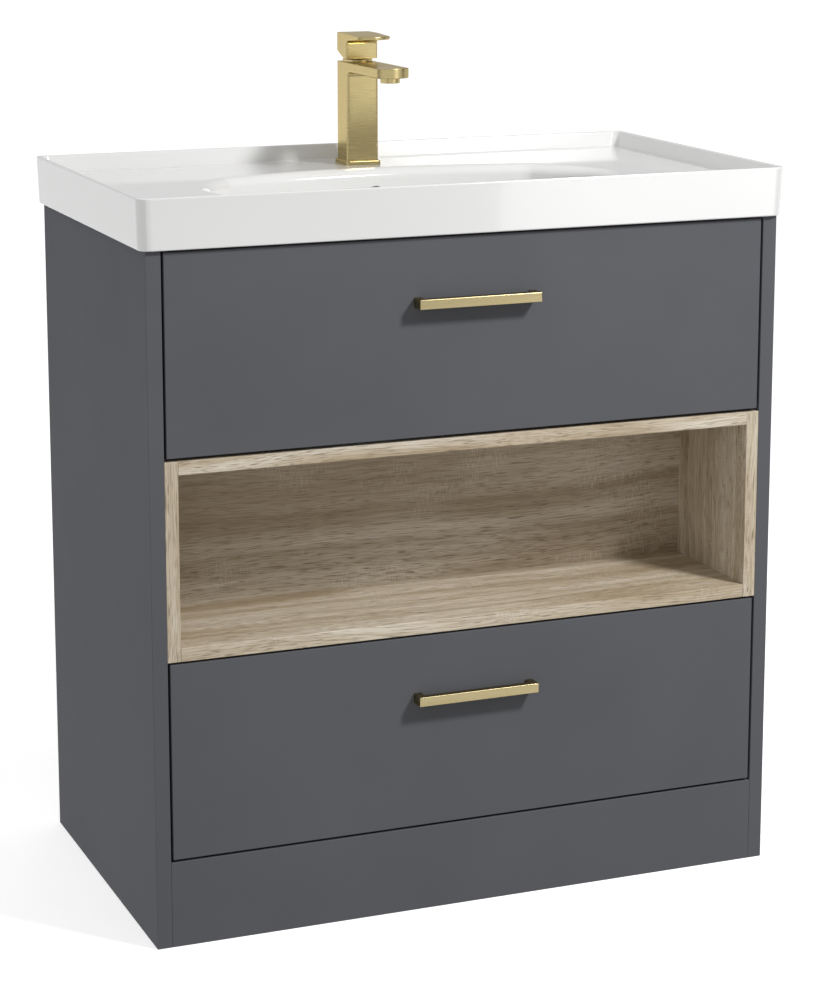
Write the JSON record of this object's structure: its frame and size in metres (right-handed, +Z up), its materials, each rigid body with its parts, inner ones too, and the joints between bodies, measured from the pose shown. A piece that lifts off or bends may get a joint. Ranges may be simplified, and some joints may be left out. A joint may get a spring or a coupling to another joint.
{
  "type": "bathroom vanity cabinet",
  "caption": "Floor-standing bathroom vanity: matt grey drawers above and below an open oak niche, white ceramic basin with a raised rim, and a brushed brass mixer tap and bar handles.",
  "frame": {"origin": "middle of the bottom of the whole object: on the floor, halfway across and halfway between the handles and the wall", "axes": "+Z up, the front faces -Y, +X is the right-hand side of someone who stands in front"},
  "size_m": [0.807, 0.465, 1.0199],
  "materials": {
    "grey_lacquer": "matt grey lacquer",
    "grey_laminate": "matt grey laminate",
    "oak_laminate": "oak-effect laminate",
    "beech": "plain",
    "glazed_ceramic": "gloss white glaze",
    "brushed_brass": "satin brushed",
    "plain_brass": "machined",
    "black_rubber": "matt",
    "white_plastic": "satin white",
    "grey_plastic": "satin",
    "zinc_steel": "zinc plated"
  },
  "bodies": {
    "cabinet": {"base_panel": "grey_laminate", "basin": "glazed_ceramic", "cam_fittings": "zinc_steel", "dowels": "beech", "front_top_rail": "grey_laminate", "left_side_panel": "grey_lacquer", "lower_cabinet_rails": "zinc_steel", "niche_bracket_screws": "zinc_steel", "niche_brackets": "zinc_steel", "oak_back_board": "oak_laminate", "oak_bottom_board": "oak_laminate", "oak_left_board": "oak_laminate", "oak_right_board": "oak_laminate", "oak_top_board": "oak_laminate", "plinth_board": "grey_lacquer", "rear_lower_rail": "grey_laminate", "rear_top_rail": "grey_laminate", "right_side_panel": "grey_lacquer", "tap_aerator": "brushed_brass", "tap_base_plate": "brushed_brass", "tap_body": "brushed_brass", "tap_cartridge": "grey_plastic", "tap_clamp_plate": "zinc_steel", "tap_neck_ring": "brushed_brass", "tap_nut": "plain_brass", "tap_stud": "plain_brass", "tap_washer": "black_rubber", "trap_body": "white_plastic", "trap_cup": "white_plastic", "trap_inlet_nut": "white_plastic", "trap_outlet_nut": "white_plastic", "trap_outlet_pipe": "white_plastic", "upper_cabinet_rails": "zinc_steel", "waste_back_nut": "plain_brass", "waste_flange": "brushed_brass", "waste_seal": "black_rubber"},
    "upper_drawer": {"upper_cutout_liner": "grey_laminate", "upper_drawer_back": "grey_laminate", "upper_drawer_base": "grey_laminate", "upper_drawer_front": "grey_lacquer", "upper_drawer_left_side": "grey_laminate", "upper_drawer_rails": "zinc_steel", "upper_drawer_right_side": "grey_laminate", "upper_handle": "brushed_brass", "upper_handle_screws": "zinc_steel"},
    "upper_runners": {"upper_middle_rails": "zinc_steel"},
    "lower_drawer": {"lower_drawer_back": "grey_laminate", "lower_drawer_base": "grey_laminate", "lower_drawer_front": "grey_lacquer", "lower_drawer_left_side": "grey_laminate", "lower_drawer_rails": "zinc_steel", "lower_drawer_right_side": "grey_laminate", "lower_handle": "brushed_brass", "lower_handle_screws": "zinc_steel"},
    "lower_runners": {"lower_middle_rails": "zinc_steel"},
    "tap_turning": {"cartridge_driver": "grey_plastic"},
    "lever": {"cartridge_stem": "zinc_steel", "tap_lever": "brushed_brass", "lever_grub_screw": "zinc_steel"},
    "plug": {"waste_plug": "brushed_brass"}
  },
  "joints": [
    {"name": "upper_drawer_slide", "type": "slide", "parent": "cabinet", "child": "upper_drawer", "axis": [0, -1, 0], "range_m": [0, 0.35]},
    {"name": "upper_runner_slide", "type": "slide", "parent": "cabinet", "child": "upper_runners", "axis": [0, -1, 0], "range_m": [0, 0.175]},
    {"name": "lower_drawer_slide", "type": "slide", "parent": "cabinet", "child": "lower_drawer", "axis": [0, -1, 0], "range_m": [0, 0.35]},
    {"name": "lower_runner_slide", "type": "slide", "parent": "cabinet", "child": "lower_runners", "axis": [0, -1, 0], "range_m": [0, 0.175]},
    {"name": "tap_turn", "type": "hinge", "parent": "cabinet", "child": "tap_turning", "pos_m": [0, 0.1685, 0.98], "axis": [0, 0, 1], "range_deg": [-45, 45]},
    {"name": "lever_lift", "type": "hinge", "parent": "tap_turning", "child": "lever", "pos_m": [0, 0.1685, 0.9795], "axis": [-1, 0, 0], "range_deg": [0, 20]},
    {"name": "plug_rise", "type": "slide", "parent": "cabinet", "child": "plug", "axis": [0, 0, 1], "range_m": [0, 0.008]}
  ],
  "couplings": [
    {"joint": "upper_runner_slide", "follows": "upper_drawer_slide", "ratio": 0.5},
    {"joint": "lower_runner_slide", "follows": "lower_drawer_slide", "ratio": 0.5}
  ]
}
